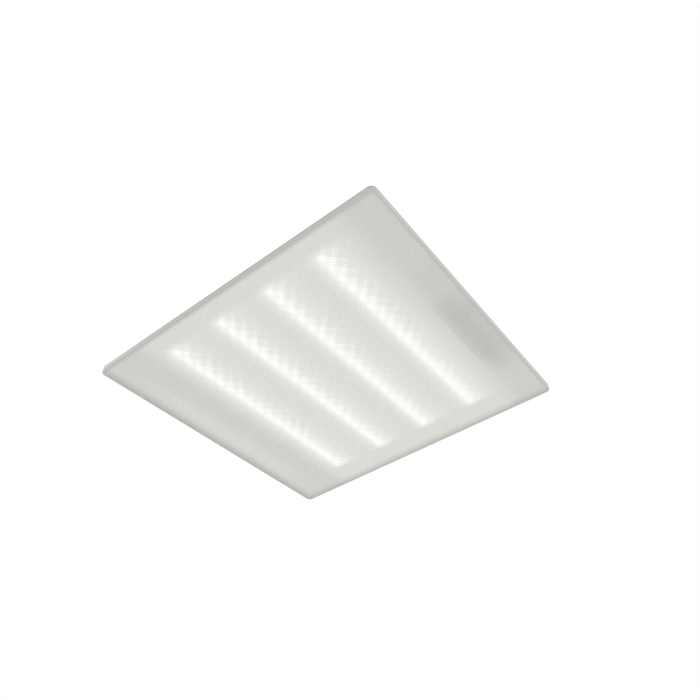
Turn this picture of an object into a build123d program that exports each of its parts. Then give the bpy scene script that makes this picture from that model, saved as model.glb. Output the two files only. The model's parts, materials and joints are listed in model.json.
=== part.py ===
from build123d import *
from math import cos, radians, tan
import os

# Square recessed ceiling light for a 600 mm ceiling grid.
# A folded steel tray carries four strips of LEDs, their driver and the mains connection,
# and a moulded prismatic cover closes it from below.
# Frame: origin at the centre of the visible face, +Z up into the ceiling, X along the LED
# strips, the driver bay beside the -Y wall. All sizes are in millimetres.

os.makedirs("parts", exist_ok=True)

# ---- Driving dimensions ----

# Overall
side = 595.0  # outer width of the cover, both ways
depth = 45.0  # visible face to the top of the back pan

# Cover
face_thickness = 2.0
rim_wall = 1.8
rim_height = 10.0
cover_corner_radius = 10.0
face_edge = 2.0  # bevel round the visible face
shelf_depth = 7.6  # how far each supporting shelf reaches in from the rim
shelf_thickness = 2.0
shelf_count = 5  # on each side
shelf_spacing = 120.0
seat_gap = 0.3  # between pieces that rest on one another without being fastened

# Housing tray
sheet = 0.8
bend_radius = 1.0  # inside radius of each fold
flange_seat = 4.6  # visible face to the underside of the flange
flange_width = 7.4  # foot of the housing wall to the outside of the hem
wall_lean = 10.4  # how far the walls lean in from the flange to the pan
hem_height = 4.2  # underside of the flange to the top of the hem
hem_gap = 1.5  # between the hem and the cover's rim
corner_relief = 5.0  # square opening where three folds meet
fold_margin = 6.0  # strip of the pan that is drawn with each fold
rib_height = 2.0
rib_width = 14.0
rib_taper = 45.0  # degrees, from upright
rib_end_gap = 43.6  # from the end of a rib to the edge of the pan

# Ceiling fixing holes in the back pan
fixing_spacing_x = 400.0
fixing_spacing_y = 450.0
fixing_hole_radius = 3.25

# LED strips
strip_count = 4
near_strip_margin = 78.5  # driver bay to the first strip
far_strip_margin = 94.1  # last strip to the top of the far wall
board_left_gap = 40.6  # end of a board to the top of the -X wall
board_right_gap = 6.6  # end of a board to the top of the +X wall
board_width = 20.0
board_thickness = 1.6
rail_height = 11.8
rail_sheet = 1.0
rail_web = 32.0  # width of the flat that carries the board
rail_foot = 9.0
rail_overhang = 4.0  # past each end of the board
tab_length = 8.0  # each tab that is cut from the rail and folded under the board's edge
tab_grip = 1.2  # how far a tab reaches under the board
tab_window = 3.4  # width of the opening that a tab leaves in the rail
tab_every = 6  # tabs along a board, counted in LEDs
led_count = 18  # on each board
led_length = 3.5
led_width = 2.8
led_height = 0.8
led_draft = 8.0  # degrees

# Screws
screw_head_width = 5.5  # across the flats of its hexagon
screw_head_height = 2.2
screw_shank_radius = 1.45
screw_point = 3.0  # how far a screw comes out of the sheet that it is driven into
screw_clearance = 0.15  # radial, in every hole that a screw goes through

# Board connectors and the leads between boards
connector_inset = 6.0  # from the end of a board
connector_length = 8.0
connector_width = 12.0
connector_height = 4.2
pole_spacing = 4.0
pole_pocket = 2.3
pole_pocket_depth = 4.0
lead_radius = 0.9
lead_sides = 6
lead_insertion = 3.0
output_bend_radius = 32.0  # middle of the pair, from the driver's bay to the first board
comb_thickness = 6.0
comb_lip = 1.6  # comb below the leads that it holds
comb_clearance = 0.2
comb_gap = 20.0  # driver to the comb in its bay

# Driver
driver_x = 63.5
driver_length = 205.0
driver_width = 40.0
driver_height = 28.0
driver_wall_gap = 5.6  # to the top of the -Y wall
driver_sheet = 1.0
driver_lip = 8.0
driver_ear = 9.0  # base beyond the cover at each end
driver_hook_width = 12.0  # hook cut from the pan, over the ear at the driver's -X end
driver_hook_grip = 4.0
driver_hook_window = 6.0
driver_cover_wall = 1.5
driver_edge_radius = 2.5
driver_window_width = 26.0
driver_window_clearance = 0.4
standoff_width = 5.0
standoff_height = 4.0
standoff_inset = 8.0
circuit_margin = 1.0  # circuit board to the driver's cover
circuit_thickness = 1.6
driver_terminal_length = 13.0
driver_terminal_height = 9.0
transformer_length = 26.0
transformer_width = 24.0
transformer_height = 16.0
transformer_x = 8.0  # from the middle of the driver
capacitor_radius = 6.3
capacitor_height = 17.0
capacitor_x = -34.0  # round capacitor, from the middle of the driver
film_capacitor_x = 38.0
film_capacitor_length = 18.0
film_capacitor_width = 12.0

# Mains connection
mains_lead_radius = 1.2
mains_lead_insertion = 4.0
mains_lead_slack = 2.2  # how far a lead bows above its ends
mains_lead_bow = 60.0  # radius of that bow
mains_pole_spacing = 9.0
mains_pocket = 3.8
block_gap = 39.0  # terminal block to the driver
block_length = 22.0
block_width = 30.0
block_height = 17.0
block_edge = 3.0  # sloped lower edges, where the release slots start
block_pole_drop = 10.0  # back pan to the centre of the block's pockets
supply_pocket = 4.4
supply_pocket_depth = 9.0
release_slot_length = 4.0
release_slot_width = 1.2
release_slot_depth = 5.0
release_slot_offset = 5.0  # from the middle of the block
foot_length = 6.0  # snap-in foot of the block
foot_width = 10.0
foot_barb = 0.8
foot_height = 2.0  # above the pan
clamp_gap = 25.0  # terminal block to the cable clamp
clamp_length = 10.0
clamp_width = 36.0
clamp_bar = 4.0
cable_slot_width = 14.0
cable_slot_height = 8.0
clamp_corner = 3.0
clamp_hook = 3.0  # hook at the clamp's +Y end, through a slot in the pan
clamp_toe = 2.0
clamp_hook_height = 1.5
entry_gap = 35.0  # cable clamp to the cable entry
entry_bore_radius = 5.0
grommet_neck_radius = 8.0
grommet_neck = 3.0  # up through the pan
grommet_flange_radius = 10.5
grommet_flange = 2.0
grommet_neck_clearance = 0.1

# Protective earth
earth_x = 34.0  # terminal block to the earth stud
earth_y = 45.0  # middle of the driver bay to the earth stud
stud_radius = 2.0
stud_length = 11.0
lug_thickness = 0.8
lug_radius = 4.2
lug_barrel = 3.8  # width and height of the crimped barrel
lug_barrel_length = 8.0
lug_barrel_gap = 5.0  # stud to the start of the barrel
nut_width = 7.0
nut_height = 3.2
lug_lead_straight = 4.0  # lead before the barrel
earth_bend_radius = 9.0
fit_clearance = 0.1

# Grid clips, each on a shouldered pin that is welded to the pan
clip_inset = 13.6  # pivot to the +X and -X edges of the pan
clip_side_inset = 45.6  # pivot to the +Y and -Y edges of the pan
clip_thickness = 1.2
clip_width = 16.0
clip_reach = 48.0
clip_tab = 5.0
clip_tab_corner = 3.0
clip_end_corner = 4.0
pivot_radius = 2.0
pivot_clearance = 0.05
pivot_end_play = 0.2
pivot_head_radius = 4.5
pivot_head_height = 1.4

# Cover springs
spring_sheet = 0.4
spring_length = 20.0
spring_drop = 2.4  # height of the spring's legs
spring_rim_gap = 0.25
spring_spacing = 300.0  # between the two springs of one side

# ---- Levels and places that follow from them ----

half_side = side / 2
rim_inner = half_side - rim_wall
hem_outer = rim_inner - hem_gap
hem_top = flange_seat + hem_height
wall_outer = hem_outer - flange_width
wall_inner = wall_outer - sheet
pan_outer = wall_outer - wall_lean
pan_inner = pan_outer - sheet
pan_under = depth - sheet
rail_under = pan_under - rail_height
board_under = rail_under - board_thickness

driver_y = -pan_inner + driver_wall_gap + driver_width / 2
first_strip_y = driver_y + driver_width / 2 + near_strip_margin
last_strip_y = pan_inner - far_strip_margin
strip_pitch = (last_strip_y - first_strip_y) / (strip_count - 1)
strip_ys = [first_strip_y + i * strip_pitch for i in range(strip_count)]

board_left = -pan_inner + board_left_gap
board_right = pan_inner - board_right_gap
board_length = board_right - board_left
board_x = (board_left + board_right) / 2
led_pitch = board_length / led_count
tab_pitch = tab_every * led_pitch
connector_xs = (board_left + connector_inset, board_right - connector_inset)
connector_offset = board_length / 2 - connector_inset
pole_z = board_under - connector_height / 2

driver_left = driver_x - driver_length / 2
driver_right = driver_x + driver_length / 2
driver_face = pan_under - driver_height
cover_length = driver_length - 2 * driver_ear
cover_width = driver_width - 2 * driver_sheet
circuit_top = pan_under - driver_sheet - standoff_height
circuit_under = circuit_top - circuit_thickness
driver_pole_z = circuit_under - driver_terminal_height / 2
driver_screw_x = driver_right - driver_ear / 2

block_x = driver_left - block_gap - block_length / 2
mains_pole_ys = [driver_y + n * mains_pole_spacing for n in (-1, 0, 1)]
block_pole_z = pan_under - block_pole_drop
clamp_x = block_x - block_length / 2 - clamp_gap - clamp_length / 2
clamp_screw_y = driver_y - (cable_slot_width + clamp_width) / 4
clamp_hook_y = driver_y + (cable_slot_width + clamp_width) / 4
hook_x = driver_left - fit_clearance - sheet / 2
entry_x = clamp_x - clamp_length / 2 - entry_gap

stud_x = block_x + earth_x
stud_y = driver_y + earth_y
lug_z = pan_under - lug_thickness / 2
barrel_z = pan_under - fit_clearance - lug_barrel / 2

clip_x = pan_outer - clip_inset
clip_y = pan_outer - clip_side_inset
clip_z = depth + seat_gap
screw_hole_radius = screw_shank_radius + screw_clearance

rib_length = 2 * (pan_outer - rib_end_gap)
# How much smaller a rib's hollow is, so that its sloping walls keep the thickness of the sheet.
rib_skin = 2 * sheet * (1 / cos(radians(rib_taper)) - tan(radians(rib_taper)))
rib_ys = [y + strip_pitch / 2 for y in strip_ys[:-1]]


def save(piece, name):
    """Label a finished piece and write it to its own file."""
    piece.part.label = name
    export_step(piece.part, f"parts/{name}.step")


def strip_piece(template, y):
    """A copy of one strip's piece, moved to the strip at y."""
    with BuildPart() as piece:
        with Locations((board_x, y, 0)):
            add(template.part)
    return piece


def lead(points, radii, radius):
    """An insulated lead, drawn with flat sides, along straight runs joined by arcs."""
    with BuildPart() as piece:
        with BuildLine() as route:
            if radii:
                FilletPolyline(*points, radius=radii)
            else:
                Polyline(*points)
        with BuildSketch(Plane(origin=route.line @ 0, z_dir=route.line % 0)):
            RegularPolygon(radius, lead_sides)
        sweep()
    return piece


# ---- Cover: a shallow moulded tray whose rim closes round the housing's flange ----

with BuildPart() as diffuser_cover:
    with BuildSketch():
        RectangleRounded(side, side, cover_corner_radius)
    extrude(amount=rim_height)
    chamfer(diffuser_cover.edges().group_by(Axis.Z)[0], face_edge)
    with BuildSketch(Plane.XY.offset(face_thickness)):
        RectangleRounded(2 * rim_inner, 2 * rim_inner, cover_corner_radius - rim_wall)
    extrude(amount=rim_height, mode=Mode.SUBTRACT)
    # Shelves along the rim carry the housing's flange.
    with BuildSketch(Plane.XY.offset(face_thickness)):
        with PolarLocations(0, 4):
            with GridLocations(0, shelf_spacing, 1, shelf_count):
                with Locations((rim_inner - shelf_depth / 2, 0)):
                    Rectangle(shelf_depth, shelf_thickness)
    extrude(amount=flange_seat - seat_gap - face_thickness)
save(diffuser_cover, "diffuser_cover")

# ---- Housing tray: one folded sheet of steel ----

# One side, drawn at +X and cut to the two mitres: pan edge, leaning wall, flange and hem.
with BuildPart() as tray_side:
    with BuildSketch(Plane.XZ):
        with BuildLine():
            FilletPolyline(
                (pan_inner - fold_margin, pan_under + sheet / 2),
                (pan_inner + sheet / 2, pan_under + sheet / 2),
                (wall_inner + sheet / 2, flange_seat + sheet / 2),
                (hem_outer - sheet / 2, flange_seat + sheet / 2),
                (hem_outer - sheet / 2, hem_top),
                radius=bend_radius + sheet / 2,
            )
        trace(line_width=sheet)
    extrude(amount=half_side, both=True)
    with BuildSketch():
        Polygon((0, 0), (half_side, -half_side), (half_side, half_side), align=None)
    extrude(amount=depth, mode=Mode.INTERSECT)


def rib_outline(skin):
    """The outlines of all ribs, smaller by a skin, with clipped corners."""
    with BuildSketch() as outline:
        with Locations(*[(0, y) for y in rib_ys]):
            Rectangle(rib_length - skin, rib_width - skin)
        chamfer(outline.vertices(), rib_width / 4)
    return outline.sketch


with BuildPart() as housing_tray:
    pan_edge = pan_inner - fold_margin + sheet
    with BuildSketch(Plane.XY.offset(pan_under)):
        Rectangle(2 * pan_edge, 2 * pan_edge)
    extrude(amount=sheet)
    with PolarLocations(0, 4):
        add(tray_side.part)
    # The flange's corners are cropped to clear the rounded corners of the cover.
    with BuildSketch() as cropped:
        Rectangle(2 * hem_outer, 2 * hem_outer)
        chamfer(cropped.vertices(), cover_corner_radius)
    extrude(amount=depth, mode=Mode.INTERSECT)
    # Stiffening ribs pressed up out of the pan, hollow from below.
    with BuildSketch(Plane.XY.offset(depth)):
        add(rib_outline(0))
    extrude(amount=rib_height, taper=rib_taper)
    with BuildSketch(Plane.XY.offset(pan_under)):
        add(rib_outline(rib_skin))
    extrude(amount=rib_height, taper=rib_taper, mode=Mode.SUBTRACT)
    # Bend reliefs where three folds meet at each corner of the pan.
    with BuildSketch(Plane.XY.offset(pan_under - 2 * bend_radius)):
        with GridLocations(2 * pan_inner, 2 * pan_inner, 2, 2):
            Rectangle(corner_relief, corner_relief)
    extrude(amount=2 * bend_radius + sheet, mode=Mode.SUBTRACT)
    # Ceiling fixings, cable entry, screws, and openings for the clamp, the block and the hook.
    with BuildSketch(Plane.XY.offset(pan_under)):
        with GridLocations(fixing_spacing_x, fixing_spacing_y, 2, 2):
            Circle(fixing_hole_radius)
        with Locations((entry_x, driver_y)):
            Circle(grommet_neck_radius + grommet_neck_clearance)
        with Locations((driver_screw_x, driver_y), (clamp_x, clamp_screw_y)):
            Circle(screw_hole_radius)
        with Locations((clamp_x, clamp_hook_y - clamp_toe / 2)):
            Rectangle(clamp_length + 2 * fit_clearance, clamp_hook + clamp_toe + 2 * fit_clearance)
        with Locations((block_x, driver_y)):
            Rectangle(foot_length + 2 * fit_clearance, foot_width + 2 * fit_clearance)
        with Locations((hook_x - (sheet + driver_hook_window) / 2, driver_y)):
            Rectangle(driver_hook_window, driver_hook_width)
    extrude(amount=sheet, mode=Mode.SUBTRACT)
    # The hook left by that last opening folds down and in under the driver's ear.
    hook_foot = pan_under - driver_sheet - fit_clearance - sheet
    with BuildSketch(Plane.XY.offset(hook_foot)):
        with Locations((hook_x, driver_y)):
            Rectangle(sheet, driver_hook_width)
    extrude(amount=pan_under - hook_foot)
    with BuildSketch(Plane.XY.offset(hook_foot)):
        with Locations((hook_x + (sheet + driver_hook_grip) / 2, driver_y)):
            Rectangle(driver_hook_grip, driver_hook_width)
    extrude(amount=sheet)
save(housing_tray, "housing_tray")

# ---- LED strips: a hat-section rail, a board and its LEDs, four times ----

with BuildPart() as rail_template:
    foot_edge = rail_web / 2 + rail_foot
    leg_z = pan_under - rail_sheet / 2
    web_z = rail_under + rail_sheet / 2
    with BuildSketch(Plane.YZ):
        with BuildLine():
            Polyline(
                (-foot_edge, leg_z),
                (-rail_web / 2 + rail_sheet / 2, leg_z),
                (-rail_web / 2 + rail_sheet / 2, web_z),
                (rail_web / 2 - rail_sheet / 2, web_z),
                (rail_web / 2 - rail_sheet / 2, leg_z),
                (foot_edge, leg_z),
            )
        trace(line_width=rail_sheet)
    extrude(amount=board_length / 2 + rail_overhang, both=True)
    # Tabs cut from the rail hang beside the board and fold in under its edges.
    tab_inner = board_width / 2 + fit_clearance
    tab_outer = tab_inner + rail_sheet
    tab_foot = board_under - fit_clearance - rail_sheet
    with BuildSketch(Plane.XY.offset(rail_under)):
        with GridLocations(tab_pitch, 2 * tab_outer + tab_window, 3, 2):
            Rectangle(tab_length, tab_window)
    extrude(amount=rail_sheet, mode=Mode.SUBTRACT)
    with BuildSketch(Plane.XY.offset(tab_foot)):
        with GridLocations(tab_pitch, tab_inner + tab_outer, 3, 2):
            Rectangle(tab_length, rail_sheet)
    extrude(amount=rail_under - tab_foot)
    with BuildSketch(Plane.XY.offset(tab_foot)):
        with GridLocations(tab_pitch, 2 * tab_inner - tab_grip, 3, 2):
            Rectangle(tab_length, tab_grip)
    extrude(amount=rail_sheet)

with BuildPart() as board_template:
    with BuildSketch(Plane.XY.offset(board_under)):
        Rectangle(board_length, board_width)
    extrude(amount=board_thickness)

with BuildPart() as led_template:
    with BuildSketch(Plane.XY.offset(board_under)):
        with GridLocations(led_pitch, 0, led_count, 1):
            Rectangle(led_width, led_length)
    extrude(amount=-led_height, taper=led_draft)

for number, strip_y in enumerate(strip_ys, start=1):
    save(strip_piece(rail_template, strip_y), f"led_rail_{number}")
    save(strip_piece(board_template, strip_y), f"led_board_{number}")
    save(strip_piece(led_template, strip_y), f"led_row_{number}")

# Each connector takes two leads, from either side of the strip.
with BuildPart() as board_connectors:
    with BuildSketch(Plane.XY.offset(board_under)):
        with Locations(*[(board_x, y) for y in strip_ys]):
            with GridLocations(2 * connector_offset, 0, 2, 1):
                Rectangle(connector_length, connector_width)
    extrude(amount=-connector_height)
    chamfer(board_connectors.edges().group_by(Axis.Z)[0].filter_by(Axis.X), connector_height / 5)
    pocket_centre = (connector_width - pole_pocket_depth) / 2
    with BuildSketch(Plane.XY.offset(pole_z - pole_pocket / 2)):
        with Locations(*[(board_x, y) for y in strip_ys]):
            with GridLocations(2 * connector_offset, 2 * pocket_centre, 2, 2):
                with GridLocations(pole_spacing, 0, 2, 1):
                    Rectangle(pole_pocket, pole_pocket_depth)
    extrude(amount=pole_pocket, mode=Mode.SUBTRACT)
save(board_connectors, "board_connectors")


# ---- Leads between the boards: one pair at alternate ends ----


def jumper_leads(side_of_pair):
    """The leads of one pole, from each board to the next, at alternate ends of the boards."""
    reach = connector_width / 2 - lead_insertion
    with BuildPart() as piece:
        for i in range(strip_count - 1):
            x = connector_xs[i % 2] + side_of_pair * pole_spacing / 2
            points = [(x, strip_ys[i] + reach, pole_z), (x, strip_ys[i + 1] - reach, pole_z)]
            add(lead(points, None, lead_radius).part)
    return piece


save(jumper_leads(-1), "jumper_leads_negative")
save(jumper_leads(1), "jumper_leads_positive")

# ---- Driver ----

with BuildPart() as driver_base:
    with BuildSketch(Plane.XY.offset(pan_under)):
        with Locations((driver_x, driver_y)):
            Rectangle(driver_length, driver_width)
        with Locations((driver_screw_x, driver_y)):
            Circle(screw_hole_radius, mode=Mode.SUBTRACT)
    extrude(amount=-driver_sheet)
    with BuildSketch(Plane.XY.offset(pan_under - driver_sheet)):
        with Locations((driver_x, driver_y)):
            with GridLocations(0, driver_width - driver_sheet, 1, 2):
                Rectangle(cover_length, driver_sheet)
    extrude(amount=-driver_lip)
    with BuildSketch(Plane.XY.offset(pan_under - driver_sheet)):
        with Locations((driver_x, driver_y)):
            with GridLocations(cover_length - 4 * standoff_inset, cover_width - 2 * standoff_inset, 2, 2):
                Rectangle(standoff_width, standoff_width)
    extrude(amount=-standoff_height)
save(driver_base, "driver_base")

with BuildPart() as driver_cover:
    with BuildSketch(Plane.XY.offset(pan_under - driver_sheet)):
        with Locations((driver_x, driver_y)):
            Rectangle(cover_length, cover_width)
    extrude(amount=driver_face - pan_under + driver_sheet)
    fillet(driver_cover.edges().group_by(Axis.Z)[0], driver_edge_radius)
    with BuildSketch(Plane.XY.offset(driver_face + driver_cover_wall)):
        with Locations((driver_x, driver_y)):
            Rectangle(cover_length - 2 * driver_cover_wall, cover_width - 2 * driver_cover_wall)
    extrude(amount=driver_height, mode=Mode.SUBTRACT)
    # A window in each end lets the terminals through.
    window_height = driver_terminal_height + 2 * driver_window_clearance
    with BuildSketch(Plane.YZ.offset(driver_left)):
        with Locations((driver_y, driver_pole_z)):
            Rectangle(driver_window_width, window_height)
    extrude(amount=driver_length, mode=Mode.SUBTRACT)
save(driver_cover, "driver_cover")

with BuildPart() as driver_circuit_board:
    with BuildSketch(Plane.XY.offset(circuit_under)):
        with Locations((driver_x, driver_y)):
            Rectangle(
                cover_length - 2 * (driver_cover_wall + circuit_margin),
                cover_width - 2 * (driver_cover_wall + circuit_margin),
            )
    extrude(amount=circuit_thickness)
save(driver_circuit_board, "driver_circuit_board")

with BuildPart() as driver_transformer:
    with BuildSketch(Plane.XY.offset(circuit_under)):
        with Locations((driver_x + transformer_x, driver_y)):
            Rectangle(transformer_length, transformer_width)
    extrude(amount=-transformer_height)
    # The winding shows between the two limbs of the core.
    with BuildSketch(Plane.XY.offset(circuit_under)):
        with Locations((driver_x + transformer_x, driver_y)):
            with GridLocations(0, transformer_width, 1, 2):
                Rectangle(transformer_length / 2, transformer_width / 4)
    extrude(amount=-transformer_height, mode=Mode.SUBTRACT)
save(driver_transformer, "driver_transformer")

with BuildPart() as driver_capacitors:
    with BuildSketch(Plane.XY.offset(circuit_under)):
        with Locations((driver_x + capacitor_x, driver_y)):
            Circle(capacitor_radius)
        with Locations((driver_x + film_capacitor_x, driver_y)):
            Rectangle(film_capacitor_length, film_capacitor_width)
    extrude(amount=-capacitor_height)
save(driver_capacitors, "driver_capacitors")


def driver_terminal(end, pole_ys, pocket):
    """A terminal in the window at one end of the driver, with a square pocket for each lead."""
    outer_x = driver_x + end * cover_length / 2
    with BuildPart() as piece:
        with BuildSketch(Plane.XY.offset(circuit_under)):
            with Locations((outer_x - end * driver_terminal_length / 2, driver_y)):
                Rectangle(driver_terminal_length, driver_window_width - 2 * driver_window_clearance)
        extrude(amount=-driver_terminal_height)
        chamfer(piece.edges().group_by(Axis.Z)[0].filter_by(Axis.Y), driver_terminal_height / 5)
        with BuildSketch(Plane.XY.offset(driver_pole_z - pocket / 2)):
            with Locations(*[(outer_x - end * mains_lead_insertion / 2, y) for y in pole_ys]):
                Rectangle(mains_lead_insertion, pocket)
        extrude(amount=pocket, mode=Mode.SUBTRACT)
    return piece


live_y, neutral_y, earth_pole_y = mains_pole_ys
output_ys = (driver_y - pole_spacing / 2, driver_y + pole_spacing / 2)
save(driver_terminal(-1, (live_y, neutral_y), mains_pocket), "driver_input_terminal")
save(driver_terminal(1, output_ys, pole_pocket), "driver_output_terminal")



def hexagon_screw(grip):
    """A screw driven upwards, its head's flat side at the origin; grip is what it clamps."""
    with BuildPart() as piece:
        with BuildSketch():
            RegularPolygon(screw_head_width / 2, 6, major_radius=False)
        extrude(amount=-screw_head_height)
        with BuildSketch():
            Circle(screw_shank_radius)
        extrude(amount=grip + screw_point)
    return piece


with BuildPart() as driver_screw:
    with Locations((driver_screw_x, driver_y, pan_under - driver_sheet)):
        add(hexagon_screw(driver_sheet + sheet).part)
save(driver_screw, "driver_screw")

# ---- Leads from the driver to the first board, and from the terminal block to the driver ----


def output_lead(pole):
    """One pole's lead from the driver, along the bay and round the corner to the first board."""
    x = connector_xs[1] + pole * pole_spacing / 2
    y = driver_y - pole * pole_spacing / 2
    points = [
        (driver_x + cover_length / 2 - lead_insertion, y, driver_pole_z),
        (x, y, pole_z),
        (x, strip_ys[0] - connector_width / 2 + lead_insertion, pole_z),
    ]
    return lead(points, [output_bend_radius + pole * pole_spacing / 2], lead_radius)


save(output_lead(-1), "output_lead_negative")
save(output_lead(1), "output_lead_positive")


def mains_lead(y):
    """A lead from the terminal block to the driver, bowed by its slack."""
    start = (block_x + block_length / 2 - mains_lead_insertion, y, block_pole_z)
    end = (driver_x - cover_length / 2 + mains_lead_insertion - seat_gap, y, driver_pole_z)
    middle = ((start[0] + end[0]) / 2, y, max(block_pole_z, driver_pole_z) + mains_lead_slack)
    return lead([start, middle, end], [mains_lead_bow], mains_lead_radius)


save(mains_lead(live_y), "live_lead")
save(mains_lead(neutral_y), "neutral_lead")


def lead_comb(slot_top):
    """A comb that hangs from the pan and takes two leads from below, its slots along Y."""
    comb_foot = pole_z - lead_radius - comb_lip
    slot_width = 2 * (lead_radius + comb_clearance)
    with BuildPart() as piece:
        with BuildSketch(Plane.XZ):
            with Locations((0, (pan_under + comb_foot) / 2)):
                Rectangle(2 * pole_spacing + slot_width, pan_under - comb_foot)
            with Locations((0, (comb_foot + slot_top) / 2)):
                with GridLocations(pole_spacing, 0, 2, 1):
                    Rectangle(slot_width, slot_top - comb_foot, mode=Mode.SUBTRACT)
        extrude(amount=comb_thickness / 2, both=True)
    return piece


with BuildPart() as lead_combs:
    low_comb = lead_comb(pole_z + lead_radius + comb_clearance)
    high_comb = lead_comb(driver_pole_z + lead_radius + comb_clearance)
    jumper_spots = [(connector_xs[i % 2], strip_ys[i] + strip_pitch / 2) for i in range(strip_count - 1)]
    bay_end_y = (driver_y + strip_ys[0]) / 2
    with Locations((connector_xs[1], bay_end_y), *jumper_spots):
        add(low_comb.part)
    with Locations(Location((driver_right + comb_gap, driver_y, 0), (0, 0, 90))):
        add(high_comb.part)
save(lead_combs, "lead_combs")

# ---- Mains terminal block, cable clamp and cable entry ----

with BuildPart() as terminal_block:
    with BuildSketch(Plane.XZ.offset(-driver_y)) as block_section:
        with Locations((block_x, pan_under - block_height / 2)):
            Rectangle(block_length, block_height)
        chamfer(block_section.vertices().group_by(Axis.Z)[0], block_edge)
    extrude(amount=block_width / 2, both=True)
    # A foot snaps through the pan, its two barbs resting on top.
    foot_half = foot_length / 2
    foot_top = depth + foot_height
    with BuildSketch(Plane.XZ.offset(-driver_y)):
        with Locations((block_x, 0)):
            Polygon(
                (-foot_half, pan_under),
                (-foot_half, depth),
                (-foot_half - foot_barb, depth),
                (-foot_half, foot_top),
                (foot_half, foot_top),
                (foot_half + foot_barb, depth),
                (foot_half, depth),
                (foot_half, pan_under),
                align=None,
            )
    extrude(amount=foot_width / 2, both=True)
    # Each pole has a pocket for the supply, one for its lead, and a release slot for each.
    with BuildSketch(Plane.XY.offset(block_pole_z - supply_pocket / 2)):
        with Locations(*[(block_x - (block_length - supply_pocket_depth) / 2, y) for y in mains_pole_ys]):
            Rectangle(supply_pocket_depth, supply_pocket)
    extrude(amount=supply_pocket, mode=Mode.SUBTRACT)
    with BuildSketch(Plane.XY.offset(block_pole_z - mains_pocket / 2)):
        with Locations(*[(block_x + (block_length - mains_lead_insertion) / 2, y) for y in mains_pole_ys]):
            Rectangle(mains_lead_insertion, mains_pocket)
    extrude(amount=mains_pocket, mode=Mode.SUBTRACT)
    with BuildSketch(Plane.XY.offset(pan_under - block_height)):
        with Locations((block_x, driver_y)):
            with GridLocations(2 * release_slot_offset, mains_pole_spacing, 2, len(mains_pole_ys)):
                Rectangle(release_slot_width, release_slot_length)
    extrude(amount=release_slot_depth, mode=Mode.SUBTRACT)
save(terminal_block, "terminal_block")

with BuildPart() as cable_clamp:
    clamp_height = cable_slot_height + clamp_bar
    with BuildSketch(Plane.YZ.offset(clamp_x)) as clamp_section:
        with Locations((driver_y, pan_under - clamp_height / 2)):
            Rectangle(clamp_width, clamp_height)
        chamfer(clamp_section.vertices().group_by(Axis.Z)[0], clamp_corner)
        with Locations((driver_y, pan_under - cable_slot_height / 2)):
            Rectangle(cable_slot_width, cable_slot_height, mode=Mode.SUBTRACT)
        # The hook's stem stands in the pan's slot and its toe lies on top of the pan.
        toe_z = depth + fit_clearance + clamp_hook_height / 2
        stem_height = depth + fit_clearance + clamp_hook_height - pan_under
        with Locations((clamp_hook_y, pan_under + stem_height / 2)):
            Rectangle(clamp_hook, stem_height)
        with Locations((clamp_hook_y + clamp_toe / 2, toe_z)):
            Rectangle(clamp_hook + clamp_toe, clamp_hook_height)
    extrude(amount=clamp_length / 2, both=True)
    with BuildSketch(Plane.XY.offset(pan_under - clamp_height)):
        with Locations((clamp_x, clamp_screw_y)):
            Circle(screw_hole_radius)
    extrude(amount=clamp_height, mode=Mode.SUBTRACT)
save(cable_clamp, "cable_clamp")

with BuildPart() as cable_clamp_screw:
    with Locations((clamp_x, clamp_screw_y, pan_under - clamp_height)):
        add(hexagon_screw(clamp_height + sheet).part)
save(cable_clamp_screw, "cable_clamp_screw")

with BuildPart() as cable_grommet:
    with BuildSketch(Plane.XY.offset(pan_under - grommet_flange)):
        with Locations((entry_x, driver_y)):
            Circle(grommet_flange_radius)
    extrude(amount=grommet_flange)
    with BuildSketch(Plane.XY.offset(pan_under)):
        with Locations((entry_x, driver_y)):
            Circle(grommet_neck_radius)
    extrude(amount=grommet_neck)
    with BuildSketch(Plane.XY.offset(pan_under - grommet_flange)):
        with Locations((entry_x, driver_y)):
            Circle(entry_bore_radius)
    extrude(amount=grommet_flange + grommet_neck, mode=Mode.SUBTRACT)
save(cable_grommet, "cable_grommet")

# ---- Protective earth: a welded stud, a crimped lug with its lead, and a nut ----

with BuildPart() as earth_stud:
    with BuildSketch(Plane.XY.offset(pan_under)):
        with Locations((stud_x, stud_y)):
            Circle(stud_radius)
    extrude(amount=-stud_length)
save(earth_stud, "earth_stud")

with BuildPart() as earth_lug:
    barrel_end_y = stud_y - lug_barrel_gap
    with BuildSketch(Plane.XY.offset(lug_z - lug_thickness / 2)):
        with Locations((stud_x, stud_y)):
            Circle(lug_radius)
        with Locations((stud_x, barrel_end_y)):
            Rectangle(lug_barrel, lug_barrel)
    extrude(amount=lug_thickness)
    with BuildSketch(Plane.XZ.offset(-barrel_end_y)):
        with Locations((stud_x, barrel_z)):
            Rectangle(lug_barrel, lug_barrel)
    extrude(amount=lug_barrel_length)
    with BuildSketch(Plane.XZ.offset(-barrel_end_y)):
        with Locations((stud_x, barrel_z)):
            lead_hole = 2 * (mains_lead_radius + fit_clearance)
            Rectangle(lead_hole, lead_hole)
    extrude(amount=lug_barrel_length, mode=Mode.SUBTRACT)
    with BuildSketch(Plane.XY.offset(lug_z - lug_thickness / 2)):
        with Locations((stud_x, stud_y)):
            Circle(stud_radius + fit_clearance)
    extrude(amount=lug_thickness, mode=Mode.SUBTRACT)
save(earth_lug, "earth_lug")

with BuildPart() as earth_nut:
    with BuildSketch(Plane.XY.offset(lug_z - lug_thickness / 2)):
        with Locations((stud_x, stud_y)):
            RegularPolygon(nut_width / 2, 6, major_radius=False)
            Circle(stud_radius + fit_clearance, mode=Mode.SUBTRACT)
    extrude(amount=-nut_height)
save(earth_nut, "earth_nut")

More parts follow.
